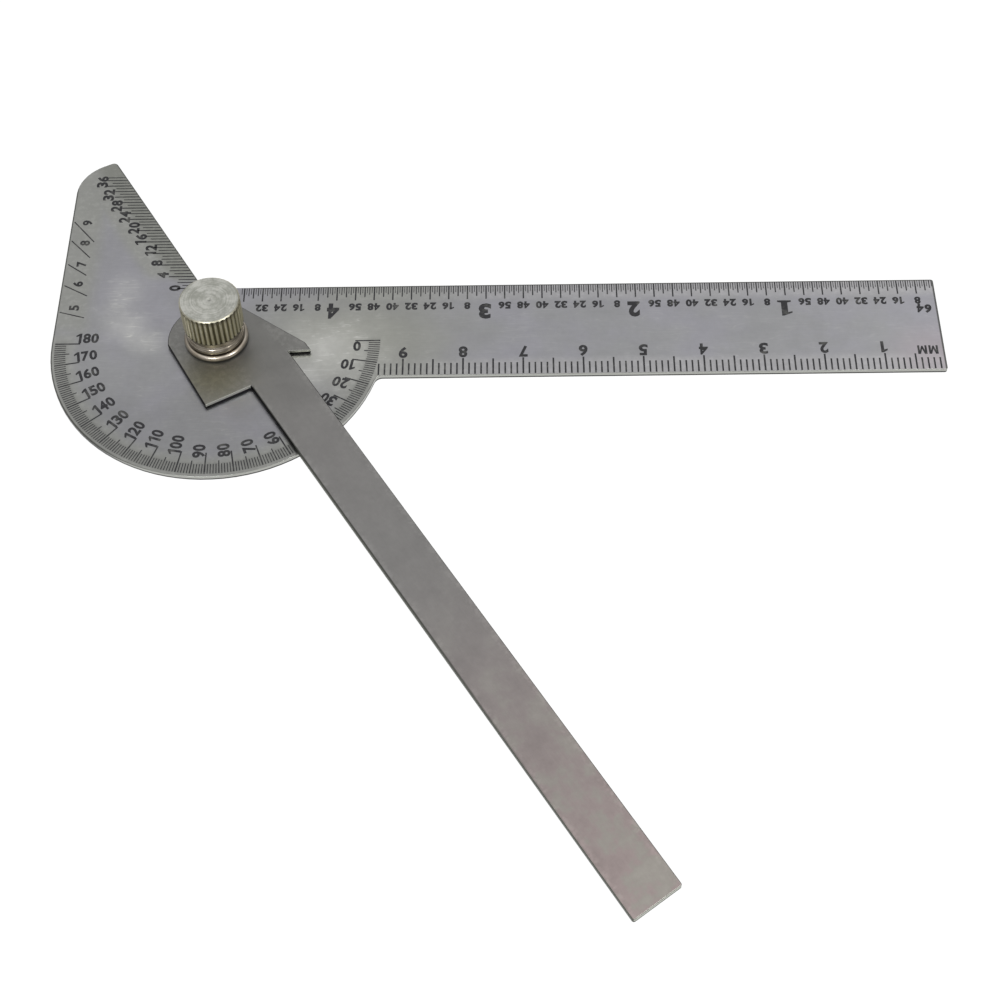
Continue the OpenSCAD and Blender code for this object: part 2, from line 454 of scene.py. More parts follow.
def paintPlate(board):
    look, area, weight = plateFinish, plateAreas, plateTone
    place, x, y, z = placeParts(board)
    radius = (x * x + y * y) ** 0.5
    sideways, frontward, upward = facing(board)
    marked = board.fade(upward, *look["marked"])  # the back is plain
    cloud, smear, speck = noises(board, place, look, "cloud", "smear", "speck")
    grain = noise(board, mapped(board, place, look["rolled"]), *look["grain"])
    (lipX, lipY), lipAngle = area["lip"]
    lean = math.radians(lipAngle)
    fromLip = (x - lipX * mm) * -math.sin(lean) + (y - lipY * mm) * math.cos(lean)
    margin = plateMargins(board, x, y, radius, fromLip) * marked
    onRule = rises(board, x, area["ruleColour"])
    band = (1 - rises(board, fromLip, area["lipBand"])) * rises(board, y, area["lipBandStart"])

    colour = board.mixed(board.fade(cloud, *look["lilacCloud"]), look["base"], look["lilac"])
    colour = board.mixed(spot(board, x, y, *look["warmPatch"]), colour, look["warm"])
    colour = board.mixed(spot(board, x, y, *look["lilacPatch"]), colour, look["lilac"])
    marginColour = board.mixed(onRule, look["margin"], look["ruleMargin"])
    colour = board.mixed(margin * look["marginStrength"], colour, marginColour)
    colour = board.mixed(band * marked * look["bandStrength"], colour, look["band"])
    # Painted sheen highlight in pale patches, with hairline scratches of real wear that are denser
    # there
    sheenAndScratches = sum(spot(board, x, y, at, reach) * strength for at, reach, strength in look["sheenAndScratches"])
    sheenAndScratches = sheenAndScratches * marked
    lines = sum(scratches(board, place, turn, scale, look) for turn, scale in look["scratchRuns"])
    streaks = lines * board.fade(smear, *look["streaked"]) * (0.10 + sheenAndScratches * 0.9)
    sheenAndScratches = sheenAndScratches * (0.76 + 0.24 * board.fade(smear, *look["smeared"])) + streaks
    colour = board.mixed(sheenAndScratches, colour, look["pale"])
    rosy = spot(board, x, y, *look["rosePatch"]) * look["roseStrength"]
    colour = board.mixed(rosy, colour, look["rose"])

    tone = weight["least"] + weight["grain"] * grain + weight["speck"] * speck
    tone = tone + weight["smear"] * smear + weight["rule"] * rises(board, x, area["paleRule"])
    tone = tone + weight["ruleEnd"] * rises(board, x, area["ruleEnd"])
    tone = tone - weight["lowHead"] * rises(board, 0 - y, area["lowHead"])
    arcBand = rises(board, radius, area["arcBand"]) * (1 - rises(board, radius, area["arcBandEnd"]))
    arcBand = arcBand * (1 - rises(board, y, area["belowPivot"]))
    tone = tone - weight["arcBand"] * marked * arcBand
    wornSpeck = board.fade(speck, *look["wornSpeck"]) * weight["marginSpeck"] - weight["margin"]
    colour = tinted(board, colour, tone + margin * wornSpeck)
    # Painted shade line along the back, left and end edges
    edgeShade = plateBorders(board, x, y, radius, fromLip) * marked * look["borderStrength"]
    colour = board.mixed(edgeShade, colour, look["rim"])

    # Sides and broken edges: painted lit where they face the reader, above the foot, and painted
    # shade elsewhere and at the foot
    front = board.fade(0.45 * sideways - frontward, *look["front"])
    litSide = front * rises(board, z, area["litSide"])
    side = board.mixed(litSide, look["darkSide"], look["litSide"])
    rim = board.mixed(front, look["rim"], look["litSide"])
    side = board.mixed(board.fade(abs(upward), *look["brokenEdge"]), side, rim)
    colour = board.mixed(board.fade(abs(upward), *look["face"]), side, colour)
    roughness = look["roughness"] + 0.10 * grain + 0.08 * cloud - 0.05 * sheenAndScratches
    height = grain * 0.6 + speck * 0.25 + smear * 0.3
    relief = board.bump(height, look["bump"], reliefDepth)
    return {"Base Color": colour, "Roughness": roughness, "Normal": relief}


armFinish = {
    "turn": 58,
    "width": 8.75,
    "head": (0.215, 0.213, 0.203, 1),
    "blade": (0.246, 0.240, 0.234, 1),
    "end": (0.335, 0.280, 0.272, 1),
    "green": (0.280, 0.285, 0.250, 1),
    "shoulder": (0.182, 0.175, 0.135, 1),
    "rim": (0.27, 0.273, 0.25, 1),
    "litSide": (0.52, 0.53, 0.47, 1),
    "darkSide": (0.006, 0.006, 0.006, 1),
    "bareSide": (0.11, 0.115, 0.10, 1),
    "line": (0.045, 0.046, 0.04, 1),
    # Painted reflection of the nut on the arm: its centre and reach along and across
    "shoulderPatch": ((7, -5), (9, 9)),
    # Along the arm, across it and up its side, in millimetres
    "headEnds": (2, 30),
    "endSetsIn": (50, 122),
    "wornEdge": (0.4, 1.3),
    "edgeShade": (0.20, 0.36),
    "borderStart": (12.1, 12.6),
    "borderFades": (60, 110),
    "pastPlate": (26, 30),
    "litStrip": (1.40, 1.48),
    # Noises: scale, detail and roughness
    "cloud": (70, 4, 0.6),
    "stain": (260, 4, 0.6),
    "speck": (1300, 3, 0.6),
    "grain": (5000, 4, 0.7),
    "brushed": (0.05, 1, 1),
    "shoulderStrength": 0.9,
    "greenStrength": 0.6,
    # Between which values each one sets in
    "stained": (0.48, 0.62),
    "wornSpeck": (0.42, 0.62),
    "litSideways": (-0.3, 0.2),
    "litFrontward": (0, 0.3),
    "brokenEdge": (0.3, 0.6),
    "face": (0.93, 0.992),
    "roughness": 0.38,
    "bump": 0.12,
}

armTone = {"least": 0.62, "grain": 0.15, "cloud": 0.19, "stain": 0.30, "speck": 0.12, "worn": 0.14}


def paintArm(board):
    look, weight = armFinish, armTone
    place = board.node("ShaderNodeTexCoord", out="Object")
    turned = mapped(board, place, turn=look["turn"])
    along, across, height = board.parts(turned)
    cloud, stain, speck = noises(board, turned, look, "cloud", "stain", "speck")
    grain = noise(board, mapped(board, turned, look["brushed"]), *look["grain"])
    colour = board.mixed(rises(board, along, look["headEnds"]), look["head"], look["blade"])
    farEnd = rises(board, along, look["endSetsIn"])
    colour = board.mixed(farEnd, colour, look["end"])
    green = farEnd * board.fade(stain, *look["stained"]) * look["greenStrength"]
    colour = board.mixed(green, colour, look["green"])
    # Painted reflection of the brass nut: a brownish patch on the arm below it
    shoulder = spot(board, along, across, *look["shoulderPatch"]) * look["shoulderStrength"]
    colour = board.mixed(shoulder, colour, look["shoulder"])
    tone = weight["least"] + weight["grain"] * grain + weight["cloud"] * cloud
    tone = tone + weight["stain"] * (stain + farEnd * (stain - 0.5)) + weight["speck"] * speck
    # Worn bright just inside the long edges; a painted shade line along the reading edge
    fromEdge = across.smaller(look["width"] * mm - across)
    nearEdge = 1 - rises(board, fromEdge, look["wornEdge"])
    tone = tone + weight["worn"] * nearEdge * board.fade(speck, *look["wornSpeck"])
    colour = tinted(board, colour, tone)
    # Painted shade line along the reading edge, fading towards the far end
    edgeShade = 1 - rises(board, across, look["edgeShade"])
    edgeShade = edgeShade * rises(board, along, look["borderStart"])
    edgeShade = edgeShade * (0.85 - 0.75 * rises(board, along, look["borderFades"]))
    colour = board.mixed(edgeShade, colour, look["line"])

    # Sides: painted shade at the foot, and all the way up on the left, but only over the plate; a
    # painted lit strip and rim where a side faces front and right
    sideways, frontward, upward = facing(board)
    pastPlate = rises(board, along, look["pastPlate"])
    darkSide = board.mixed(pastPlate, look["darkSide"], look["bareSide"])
    lit = board.fade(sideways, *look["litSideways"])
    lit = lit * board.fade(0 - frontward, *look["litFrontward"])
    strip = rises(board, height, look["litStrip"]) * lit
    side = board.mixed(strip, darkSide, look["litSide"])
    rim = board.mixed(lit, darkSide, look["rim"])
    side = board.mixed(board.fade(upward, *look["brokenEdge"]), side, rim)
    colour = board.mixed(board.fade(abs(upward), *look["face"]), side, colour)
    roughness = look["roughness"] + 0.12 * grain + 0.06 * cloud
    relief = board.bump(grain * 0.8 + stain * 0.2, look["bump"], reliefDepth)
    return {"Base Color": colour, "Roughness": roughness, "Normal": relief}


nickelFinish = {
    "top": (0.41, 0.415, 0.370, 1),
    "topPale": (0.61, 0.61, 0.565, 1),
    "barrel": (0.505, 0.474, 0.340, 1),
    "groove": (0.165, 0.150, 0.090, 1),
    "rim": (0.44, 0.42, 0.33, 1),
    "bead": (0.36, 0.315, 0.25, 1),
    "beadPale": (0.50, 0.45, 0.375, 1),
    "shadeAndDirt": (0.03, 0.026, 0.02, 1),
    # Heights and radii from where to where each one sets in, in millimetres
    "barrelFoot": (5.70, 5.80),
    "ridge": (4.74, 4.97),
    "rimFoot": (11.44, 11.52),
    "seamHeight": 5.74,
    "seam": (0.05, 0.55),
    "seamRadius": (3.5, 4),
    "foot": (3.06, 3.30),
    "brow": (10.3, 11.45),
    "browEnd": (11.45, 11.5),
    # Noises: scale, detail and roughness
    "cloud": (330, 4, 0.6),
    "speck": (1500, 3, 0.6),
    "wear": (1000, 2, 0.6),
    "upright": (1, 1, 0.15),
    "rings": 2300,
    "ringDrift": 0.6,
    "topFace": (0.80, 0.97),
    "paleBead": (0.4, 0.65),
    "paleTop": (0.42, 0.58),
    "seamStrength": 0.85,
    "topRoughness": 0.34,
    "barrelRoughness": 0.36,
    "beadRoughness": 0.13,
    "bump": 0.25,
}


def paintNut(board):
    look = nickelFinish
    place, x, y, z = placeParts(board)
    radius = (x * x + y * y) ** 0.5
    upward = facing(board)[2]
    cloud, speck = noises(board, place, look, "cloud", "speck")
    rings = turnedRings(board, radius + cloud * look["ringDrift"] * mm, look["rings"])
    barrel = rises(board, z, look["barrelFoot"])
    # Painted shade, with some dirt, down in the knurl's grooves
    grooveShade = (1 - rises(board, radius, look["ridge"])) * barrel
    topFace = board.fade(upward, *look["topFace"]) * barrel
    colour = board.mixed(board.fade(cloud, *look["paleBead"]), look["bead"], look["beadPale"])
    colour = board.mixed(barrel, colour, look["barrel"])
    colour = board.mixed(grooveShade, colour, look["groove"])
    colour = board.mixed(rises(board, z, look["rimFoot"]), colour, look["rim"])
    mottle = rings * 0.28 + cloud * 0.50 + speck * 0.22
    topColour = board.mixed(board.fade(mottle, *look["paleTop"]), look["top"], look["topPale"])
    colour = board.mixed(topFace, colour, topColour)
    # Painted shade where the bead meets the barrel and at the bead's foot by the washer, and a
    # mottled darker band under the rim
    seam = 1 - rises(board, abs(z - look["seamHeight"] * mm), look["seam"])
    seam = seam * rises(board, radius, look["seamRadius"])
    brow = rises(board, z, look["brow"]) * (1 - rises(board, z, look["browEnd"]))
    colour = board.mixed(seam * look["seamStrength"], colour, look["shadeAndDirt"])
    colour = board.mixed(1 - rises(board, z, look["foot"]), colour, look["shadeAndDirt"])
    colour = board.mixed(brow * (0.35 + 0.4 * cloud), colour, look["shadeAndDirt"])
    knurled = barrel * (1 - topFace)
    wear = noise(board, mapped(board, place, look["upright"]), *look["wear"]) - 0.4
    colour = tinted(board, colour, 0.76 + 0.20 * cloud + 0.14 * speck + 0.5 * wear * knurled)
    rougher = look["barrelRoughness"] - look["beadRoughness"]
    side = look["beadRoughness"] + rougher * barrel
    roughness = side + (look["topRoughness"] - side) * topFace + 0.08 * cloud
    height = rings * topFace * 0.6 + speck * barrel * 0.35
    relief = board.bump(height, look["bump"], reliefDepth)
    return {"Base Color": colour, "Roughness": roughness, "Normal": relief}


washerFinish = {
    "rim": (0.53, 0.48, 0.41, 1),
    "stain": (0.40, 0.35, 0.28, 1),
    "shadeAndDirt": (0.02, 0.018, 0.014, 1),
    # Painted shade below the first heights and, partly, above the second; unshaded between them, in
    # millimetres
    "unshadedFrom": (2.10, 2.60),
    "unshadedTo": (3.00, 3.05),
    "cloud": (400, 4, 0.6),
    "stained": (0.35, 0.7),
    "roughness": 0.23,
}


def paintWasher(board):
    look = washerFinish
    place, _, _, z = placeParts(board)
    cloud = noise(board, place, *look["cloud"])
    colour = board.mixed(board.fade(cloud, *look["stained"]), look["rim"], look["stain"])
    # Painted shade on the washer's underside and, lighter, on its top by the bead
    unshaded = rises(board, z, look["unshadedFrom"]) * (1 - 0.6 * rises(board, z, look["unshadedTo"]))
    colour = board.mixed(unshaded, look["shadeAndDirt"], colour)
    return {"Base Color": colour, "Roughness": look["roughness"] + 0.12 * cloud}


studFinish = {
    "steel": (0.50, 0.50, 0.48, 1),
    "stain": (0.40, 0.39, 0.36, 1),
    "cloud": (300, 3, 0.6),
    "stained": (0.35, 0.7),
    "rings": 5000,
    "roughness": 0.30,
    "bump": 0.2,
}


def paintStud(board):
    look = studFinish
    place, x, y, _ = placeParts(board)
    rings = turnedRings(board, (x * x + y * y) ** 0.5, look["rings"])
    cloud = noise(board, place, *look["cloud"])
    colour = board.mixed(board.fade(cloud, *look["stained"]), look["steel"], look["stain"])
    roughness = look["roughness"] + 0.12 * rings
    relief = board.bump(rings, look["bump"], reliefDepth)
    return {"Base Color": colour, "Roughness": roughness, "Normal": relief}


inkFinish = {
    "ink": (0.020, 0.020, 0.022, 1),
    "thin": (0.070, 0.070, 0.066, 1),
    "wear": 700,
    "worn": (0.48, 0.75),
    "roughness": 0.62,
}


def paintInk(board):
    look = inkFinish
    wear = noise(board, board.node("ShaderNodeTexCoord", out="Object"), look["wear"])
    colour = board.mixed(board.fade(wear, *look["worn"]), look["ink"], look["thin"])
    return {"Base Color": colour, "Roughness": look["roughness"] + 0.15 * wear}


steel = {"Metallic": 1.0}
plateSteel = newMaterial("plateSteel", steel, paintPlate)
armSteel = newMaterial("armSteel", steel, paintArm)
nutNickel = newMaterial("nutNickel", steel, paintNut)
washerNickel = newMaterial("washerNickel", steel, paintWasher)
studSteel = newMaterial("studSteel", steel, paintStud)
etchInk = newMaterial("etchInk", {"Metallic": 0.0, "Specular IOR Level": 0.3}, paintInk)
print("materials ready")


# Pieces: each one is a plain mesh in place, on its body

def addPiece(name, mesh, body, material, stands=None):
    piece = bpy.data.objects.new(name, mesh)
    bpy.context.scene.collection.objects.link(piece)
    mesh.materials.clear()
    mesh.materials.append(material)
    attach(piece, body)
    if stands:
        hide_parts(stands)
    print(name, "made:", len(mesh.polygons), "faces")
    return piece


def smoothed(mesh, angle):
    mesh.polygons.foreach_set("use_smooth", [True] * len(mesh.polygons))
    mesh.set_sharp_from_angle(angle=math.radians(angle))


# Stamped sheets: copies of the frame's plate and arm with their edges broken

sheetEdge = {"width": 0.16, "steps": 3, "angle": 30, "merge": 0.0005, "flat": 0.2}


def sheetPiece(name, node, body, material):
    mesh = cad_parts[node].data.copy()
    mesh.name = name
    shape = bmesh.new()
    shape.from_mesh(mesh)
    bmesh.ops.remove_doubles(shape, verts=shape.verts, dist=sheetEdge["merge"] * mm)
    flat = math.radians(sheetEdge["flat"])
    bmesh.ops.dissolve_limit(shape, angle_limit=flat, verts=shape.verts, edges=shape.edges)
    shape.to_mesh(mesh)
    smoothed(mesh, sheetEdge["angle"])
    piece = addPiece(name, mesh, body, material, node)
    edge = piece.modifiers.new("brokenEdge", "BEVEL")
    edge.width = sheetEdge["width"] * mm
    edge.segments = sheetEdge["steps"]
    edge.limit_method = "ANGLE"
    edge.angle_limit = math.radians(sheetEdge["angle"])
    edge.harden_normals = True


sheetPiece("rulePlate", "rule_plate", "plate", plateSteel)
sheetPiece("swingArm", "swing_arm", "arm", armSteel)


# Geometry Nodes tools

class Tool(Board):
    # A Geometry Nodes tree with named inputs, ending in geometry of one material
    def __init__(self, name, inputs, material):
        super().__init__(bpy.data.node_groups.new(name, "GeometryNodeTree"))
        self.material = material
        face = self.tree.interface
        face.new_socket("Geometry", in_out="INPUT", socket_type="NodeSocketGeometry")
        face.new_socket("Geometry", in_out="OUTPUT", socket_type="NodeSocketGeometry")
        for title, kind in inputs.items():
            face.new_socket(title, in_out="INPUT", socket_type="NodeSocket" + kind)
        self.given = self.node("NodeGroupInput")

    def size(self, title):
        return self.given.of(title)

    def finish(self, shape):
        plain = self.node("GeometryNodeRealizeInstances", None, {0: shape})
        sockets = {"Geometry": plain, "Material": self.material}
        self.node("NodeGroupOutput", None, {0: self.node("GeometryNodeSetMaterial", None, sockets)})

    def applied(self, mesh, sizes):
        holder = bpy.data.objects.new("holder", mesh)
        bpy.context.scene.collection.objects.link(holder)
        modifier = holder.modifiers.new("tool", "NODES")
        modifier.node_group = self.tree
        for item in self.tree.interface.items_tree:
            if item.in_out == "INPUT" and item.name in sizes:
                modifier[item.identifier] = sizes[item.name]
        graph = bpy.context.evaluated_depsgraph_get()
        result = bpy.data.meshes.new_from_object(holder.evaluated_get(graph))
        holder.modifiers.remove(modifier)
        bpy.data.objects.remove(holder)
        return result


# Turned pieces: an outline of (radius, height) in millimetres, revolved round the pivot axis

def turnedMesh(name, outline, segments, closed=False):
    mesh = bpy.data.meshes.new(name)
    shape = bmesh.new()
    rings = []
    for radius, height in outline:
        count = segments if radius else 1
        out = radius * mm
        turns = [math.tau * step / count for step in range(count)]
        rings.append([
            shape.verts.new((out * math.cos(a), out * math.sin(a), height * mm)) for a in turns])
    if closed:
        rings.append(rings[0])
    for upper, lower in zip(rings, rings[1:]):
        for step in range(segments):
            after = (step + 1) % segments
            corners = [ring[place % len(ring)] for ring, place in (
                (upper, step), (upper, after), (lower, after), (lower, step))]
            shape.faces.new(dict.fromkeys(corners))
    bmesh.ops.recalc_face_normals(shape, faces=shape.faces)
    shape.to_mesh(mesh)
    return mesh


def between(start, end, steps):
    # Points from start up to, not with, end
    return [tuple(a + (b - a) * step / steps for a, b in zip(start, end)) for step in range(steps)]


def roundBit(centre, radius, first, last, steps):
    turns = [math.radians(first + (last - first) * step / steps) for step in range(steps + 1)]
    across, up = centre
    return [(across + radius * math.cos(a), up + radius * math.sin(a)) for a in turns]


def roundParts(tool):
    # A turned piece's point: its distances, radius and turn
    x, y, z = tool.parts(tool.node("GeometryNodeInputPosition"))
    return x, y, z, (x * x + y * y) ** 0.5, y.math("ARCTAN2", y, x)


def cutTo(tool, floorRadius, chosen, x, y, z, radius):
    # Chosen points further out than the floor move in to it
    ratio = radius.smaller(floorRadius) / radius
    moved = tool.vector(x * ratio, y * ratio, z)
    sockets = {"Geometry": tool.given, "Selection": chosen, "Position": moved}
    tool.finish(tool.node("GeometryNodeSetPosition", None, sockets))
    return tool


nutSizes = {
    "foot": 3.05,
    "top": 11.70,
    "radius": 5.0,
    "chamfer": 0.2,
    "rimFlat": 0.10,
    "rimRound": 0.08,
    "collarTop": 5.75,
    "neck": (4.42, 4.76),
    "flare": (4.66, 4.30),
    "beadRadius": 0.727,
    "hole": 2.55,
    "holeTop": 8.868,
    "holePoint": 10.40,
    "ribs": 36,
    "ribSteps": 14,
    "depth": 0.30,
    "grooveShape": 1.7,
    # The grooves run out by this share, between these heights under the top
    "runOut": 0.8,
    "runOutReach": (-0.42, -0.12),
    "hair": 0.01,
    "sharp": 35,
    "turnedRings": (3.3, 2.35, 1.5, 0.8),
    "ringDepth": 0.004,
    "ringWidth": 0.14,
    # The pip in the middle of the top: its foot, its rim and its depth
    "pip": (0.16, 0.24, 0.05),
    "holeChamfer": 0.35,
}


def nutOutline(nut):
    radius, chamfer, foot, top = nut["radius"], nut["chamfer"], nut["foot"], nut["top"]
    rim, low = radius - chamfer, nut["collarTop"]
    pipFoot, pipRim, pipDepth = nut["pip"]
    points = [(0, top - pipDepth), (pipFoot, top - pipDepth), (pipRim, top)]
    half = nut["ringWidth"]
    for ring in sorted(nut["turnedRings"]):
        points += [(ring - half, top), (ring, top - nut["ringDepth"]), (ring + half, top)]
    curve = nut["rimRound"]
    points += [(rim - nut["rimFlat"], top)] + roundBit((rim - curve, top - curve), curve, 90, 45, 2)
    points += between((rim, top - nut["hair"]), (radius, top - chamfer), 4)
    points += between((radius, top - chamfer), (radius, low + chamfer), 20)
    points += between((radius, low + chamfer), (rim, low), 4) + [(rim, low)]
    # Collar: a neck that flares into a bead
    (neck, neckFoot), (flare, flareFoot), bead = nut["neck"], nut["flare"], nut["beadRadius"]
    points += [(neck, low - nut["hair"])]
    for step in range(8):
        down = step / 8
        out = neck + (flare - neck) * down * down
        points.append((out, neckFoot + (flareFoot - neckFoot) * down))
    lean = math.asin((flareFoot - foot - bead) / bead)
    centre = (flare - bead * math.cos(lean), foot + bead)
    points += roundBit(centre, bead, math.degrees(lean), -90, 14)
    points += [(nut["hole"] + nut["holeChamfer"], foot), (nut["hole"], foot + nut["holeChamfer"])]
    return points + [(nut["hole"], nut["holeTop"]), (0, nut["holePoint"])]


def makeKnurlTool(nut):
    sizes = {"Ribs": "Int", "Radius": "Float", "Depth": "Float", "Low": "Float", "High": "Float"}
    tool = Tool("knurl", sizes, nutNickel)
    x, y, z, radius, turn = roundParts(tool)
    wave = (turn * tool.size("Ribs")).cosine() * 0.5 + 0.5
    runOut = 1 - nut["runOut"] * rises(tool, z - tool.size("High"), nut["runOutReach"])
    groove = tool.size("Depth") * wave ** nut["grooveShape"] * runOut
    onBarrel = (tool.size("Low") < z) * (tool.size("Radius") * 0.8 < radius)
    return cutTo(tool, tool.size("Radius") - groove, onBarrel, x, y, z, radius)


nutBlank = turnedMesh("nutBlank", nutOutline(nutSizes), nutSizes["ribs"] * nutSizes["ribSteps"])
nutMesh = makeKnurlTool(nutSizes).applied(nutBlank, {
    "Ribs": nutSizes["ribs"],
    "Radius": nutSizes["radius"] * mm,
    "Depth": nutSizes["depth"] * mm,
    "Low": (nutSizes["collarTop"] - nutSizes["hair"]) * mm,
    "High": nutSizes["top"] * mm,
})
smoothed(nutMesh, nutSizes["sharp"])
addPiece("thumbNut", nutMesh, "nut", nutNickel, "thumb_nut")

washerSizes = {
    "foot": 1.90,
    "height": 1.15,
    "radius": 5.35,
    "bore": 2.65,
    "chamfer": 0.15,
    "sides": 128,
    "sharp": 35,
}


def washerOutline(washer):
    rim = washer["height"] / 2
    foot, bore, cut = washer["foot"], washer["bore"], washer["chamfer"]
    top = foot + washer["height"]
    points = roundBit((washer["radius"] - rim, foot + rim), rim, 90, -90, 24)
    return points + [(bore + cut, foot), (bore, foot + cut), (bore, top - cut), (bore + cut, top)]


washerMesh = turnedMesh(
    "clampWasher", washerOutline(washerSizes), washerSizes["sides"], closed=True)
smoothed(washerMesh, washerSizes["sharp"])
addPiece("clampWasher", washerMesh, "ring", washerNickel, "clamp_washer")

studSizes = {
    "faceRing": 2.0,
    "headRadius": 4.5,
    "headHeight": 0.4,
    "neckRadius": 3.5,
    "neckTop": 0.9,
    "flats": 5.8,
    "journal": 2.75,
    "journalTop": 1.85,
    "edge": 0.05,
    "thread": 2.5,
    "top": 8.668,
    "chamfer": 0.4,
    "pitch": 0.8,
    "threadDepth": 0.38,
    "flankSlope": 2.6,
    "crest": 0.15,
    "runIn": (0, 0.5),
    "sides": 64,
    "sharp": 40,
}


def studOutline(stud):
    edge, head, journal = stud["edge"], stud["headRadius"], stud["journal"]
    top, thread, chamfer = stud["top"], stud["thread"], stud["chamfer"]
    points = [(0, 0), (stud["faceRing"], 0), (head - edge, 0), (head, edge)]
    points += [(head, stud["headHeight"])]
    points += [(stud["neckRadius"], stud["headHeight"]), (stud["neckRadius"], stud["neckTop"])]
    points += [(journal, stud["neckTop"]), (journal, stud["journalTop"] - edge)]
    points += [(journal - edge, stud["journalTop"])]
    points += between((thread, stud["journalTop"]), (thread, top - chamfer), 96)
    points += between((thread, top - chamfer), (thread - chamfer, top), 5)
    return points + [(thread - chamfer, top), (0, top)]


def makeThreadTool(stud):
    sizes = {"Pitch": "Float", "Depth": "Float", "Radius": "Float", "Start": "Float"}
    tool = Tool("thread", sizes, studSteel)
    x, y, z, radius, turn = roundParts(tool)
    rise = (z / tool.size("Pitch") - turn / math.tau) % 1.0
    flank = (abs(rise - 0.5) * stud["flankSlope"] - stud["crest"]).larger(0.0).smaller(1.0)
    runIn = rises(tool, z - tool.size("Start"), stud["runIn"])
    groove = tool.size("Depth") * flank * runIn
    onThread = tool.size("Start") < z
    return cutTo(tool, tool.size("Radius") - groove, onThread, x, y, z, radius)


studBlank = turnedMesh("studBlank", studOutline(studSizes), studSizes["sides"])
# The neck's two flats, which key it in the plate
half = studSizes["flats"] / 2 * mm
for vertex in studBlank.vertices:
    height = vertex.co.z / mm
    onNeck = studSizes["headHeight"] - 0.0001 < height < studSizes["neckTop"] + 0.0001
    if onNeck and vertex.co.xy.length < (studSizes["neckRadius"] + 0.1) * mm:
        vertex.co.y = max(-half, min(half, vertex.co.y))
studMesh = makeThreadTool(studSizes).applied(studBlank, {
    "Pitch": studSizes["pitch"] * mm,
    "Depth": studSizes["threadDepth"] * mm,
    "Radius": studSizes["thread"] * mm,
    "Start": studSizes["journalTop"] * mm,
})
smoothed(studMesh, studSizes["sharp"])
addPiece("pivotStud", studMesh, "plate", studSteel, "pivot_stud")


# Etched marks: thin slabs let into the plate's face

etch = {"low": 0.88, "high": 0.908}
etchMiddle = (etch["low"] + etch["high"]) / 2
etchDepth = (etch["high"] - etch["low"]) * mm
tierNames = ("Second", "Third", "Fourth")


def tickSize(tool):
    # Every so many ticks a longer and bolder one
    count = tool.node("GeometryNodeInputIndex") + tool.size("First")
    length, width = tool.size("Length"), tool.size("Width")
    for tier in tierNames:
        hit = (count + 0.5) % tool.size(tier + " every") < 1.0
        length = length + (tool.size(tier + " length") - length) * hit
        width = width + (tool.size(tier + " width") - width) * hit
    return count, length, width


def slabs(tool, points, length, width, turn):
    slab = tool.node("GeometryNodeMeshCube", None, {"Size": (1, 1, 1)})
    size = tool.vector(width, length, etchDepth)
    rotation = tool.node("FunctionNodeEulerToRotation", None, {0: tool.vector(0, 0, turn)})
    return tool.node("GeometryNodeInstanceOnPoints", None, {
        "Points": points, "Instance": slab, "Rotation": rotation, "Scale": size})


tickInputs = {"Count": "Int", "First": "Int", "Length": "Float", "Width": "Float"}
for tier in tierNames:
    tickInputs.update({tier + part: "Float" for part in (" every", " length", " width")})


def makeRowTool():
    sizes = {**tickInputs, "Start": "Vector", "Step": "Vector", "Turn": "Float"}
    tool = Tool("tickRow", sizes, etchInk)
    _, length, width = tickSize(tool)
    line = tool.node("GeometryNodeMeshLine", {"mode": "OFFSET"}, {
        "Count": tool.size("Count"), "Start Location": tool.size("Start"),
        "Offset": tool.size("Step")})
    turn = tool.size("Turn")
    inward = tool.vector(0 - turn.sine() * length * 0.5, turn.cosine() * length * 0.5)
    placed = tool.node("GeometryNodeSetPosition", None, {"Geometry": line, "Offset": inward})
    tool.finish(slabs(tool, placed, length, width, turn))
    return tool


def makeArcTool():
    sizes = {**tickInputs, "Radius": "Float", "Pitch": "Float", "Height": "Float"}
    tool = Tool("tickArc", sizes, etchInk)
    count, length, width = tickSize(tool)
    line = tool.node("GeometryNodeMeshLine", {"mode": "OFFSET"}, {"Count": tool.size("Count")})
    turn = 0 - count * tool.size("Pitch")
    middle = tool.size("Radius") - length * 0.5
    around = tool.vector(turn.cosine() * middle, turn.sine() * middle, tool.size("Height"))
    placed = tool.node("GeometryNodeSetPosition", None, {"Geometry": line, "Position": around})
    tool.finish(slabs(tool, placed, length, width, turn + math.pi / 2))
    return tool


ruleReach = 121.2
inch = 25.4
sixtyFourth = inch / 64
lipTurn = math.radians(plateAreas["lip"][1])
lipStep = inch / 32
# Tiers: every so many ticks, how long, how wide
scaleRows = {
    "millimetreTicks": {
        "start": (ruleReach - 1, -7.44), "step": (-1, 0), "turn": 0, "count": 94, "first": 1,
        "tiers": [(1, 2.4, 0.28), (5, 3.25, 0.29), (10, 3.4, 0.3), (10, 3.4, 0.3)],
    },
    "inchTicks": {
        "start": (ruleReach - sixtyFourth, 11.92), "step": (-sixtyFourth, 0), "turn": 180,
        "count": 297, "first": 1,
        "tiers": [(1, 1.4, 0.12), (2, 1.75, 0.16), (4, 2.3, 0.21), (8, 3.0, 0.24)],
    },
    "lipTicks": {
        "start": (-3.65, 12.1),
        "step": (lipStep * math.cos(lipTurn), lipStep * math.sin(lipTurn)),
        "turn": 90, "count": 40, "first": 0,
        "tiers": [(1, 3.0, 0.18), (2, 3.5, 0.20), (4, 4.3, 0.24), (4, 4.3, 0.24)],
    },
}
arcScale = {
    "radius": 27.3, "pitch": 1, "count": 181, "first": 0,
    "tiers": [(1, 1.9, 0.16), (5, 2.55, 0.19), (10, 4.2, 0.25), (10, 4.2, 0.25)],
}


